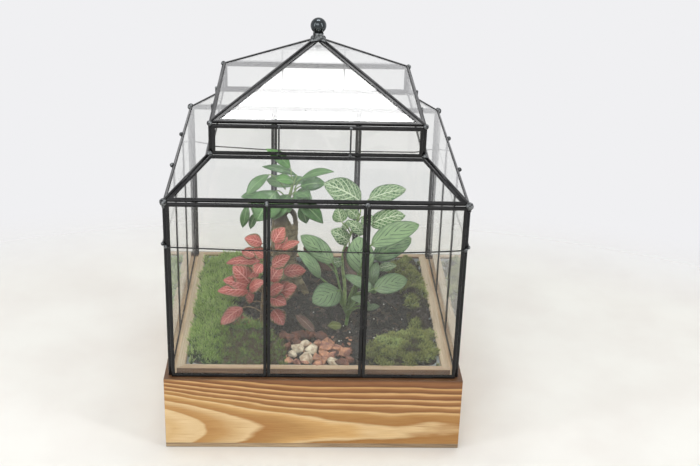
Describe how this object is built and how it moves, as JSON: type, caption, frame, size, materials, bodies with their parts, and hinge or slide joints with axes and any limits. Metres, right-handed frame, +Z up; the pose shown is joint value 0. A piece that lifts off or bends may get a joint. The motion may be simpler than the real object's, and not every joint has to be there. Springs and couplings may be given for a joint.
{
  "type": "wardian case",
  "caption": "Square soldered glass house with a skirt roof, clerestory and pyramid top, lifting off a wooden planting box with a plastic liner, soil, moss, stones and house plants.",
  "frame": {"origin": "bottom centre of the wooden box", "axes": "+Z up through the ball finial, front towards -Y, +X to the right seen from the front"},
  "size_m": [0.278, 0.278, 0.3812],
  "materials": {
    "came": "black patina, satin",
    "glass": "clear float glass",
    "wire": "black, satin",
    "solder": "dull grey solder",
    "ball": "dark polished metal",
    "torched_wood": "torched pine, clear satin",
    "floor_wood": "plain board",
    "rim_wood": "stained pine",
    "liner": "translucent grey plastic",
    "soil": "damp potting soil",
    "moss": "live cushion moss",
    "dark_moss": "live sheet moss",
    "stone": "rough broken stone",
    "bark": "grey-brown bark",
    "ficus_leaf": "waxy leaf",
    "red_leaf": "soft leaf",
    "veined_leaf": "soft leaf",
    "striped_leaf": "soft leaf"
  },
  "bodies": {
    "base": {"box_front": "torched_wood", "box_back": "torched_wood", "box_left": "torched_wood", "box_right": "torched_wood", "box_floor": "floor_wood", "rim_front": "rim_wood", "rim_back": "rim_wood", "rim_left": "rim_wood", "rim_right": "rim_wood"},
    "glass_house": {"wall_came_front": "came", "wall_came_right": "came", "wall_came_back": "came", "wall_came_left": "came", "wall_glass_front": "glass", "wall_glass_right": "glass", "wall_glass_back": "glass", "wall_glass_left": "glass", "skirt_came_front": "came", "skirt_came_right": "came", "skirt_came_back": "came", "skirt_came_left": "came", "skirt_glass_front": "glass", "skirt_glass_right": "glass", "skirt_glass_back": "glass", "skirt_glass_left": "glass", "clerestory_came_front": "came", "clerestory_came_right": "came", "clerestory_came_back": "came", "clerestory_came_left": "came", "clerestory_glass_front": "glass", "clerestory_glass_right": "glass", "clerestory_glass_back": "glass", "clerestory_glass_left": "glass", "roof_came_front": "came", "roof_came_right": "came", "roof_came_back": "came", "roof_came_left": "came", "roof_glass_front": "glass", "roof_glass_right": "glass", "roof_glass_back": "glass", "roof_glass_left": "glass", "wall_wire_front": "wire", "wall_wire_right": "wire", "wall_wire_back": "wire", "wall_wire_left": "wire", "clerestory_wires": "wire", "wall_solder": "solder", "roof_solder": "solder", "finial_ball": "ball"},
    "planter": {"liner": "liner", "soil": "soil", "moss_left": "moss", "moss_right": "dark_moss", "stones": "stone", "ficus_trunk": "bark", "ficus_leaves": "ficus_leaf", "red_fittonia": "red_leaf", "white_fittonia": "veined_leaf", "calathea": "striped_leaf"}
  },
  "joints": [
    {"name": "house_lift", "type": "slide", "parent": "base", "child": "glass_house", "axis": [0, 0, 1], "range_m": [0, 0.3]},
    {"name": "planter_lift", "type": "slide", "parent": "base", "child": "planter", "axis": [0, 0, 1], "range_m": [0, 0.077]}
  ]
}
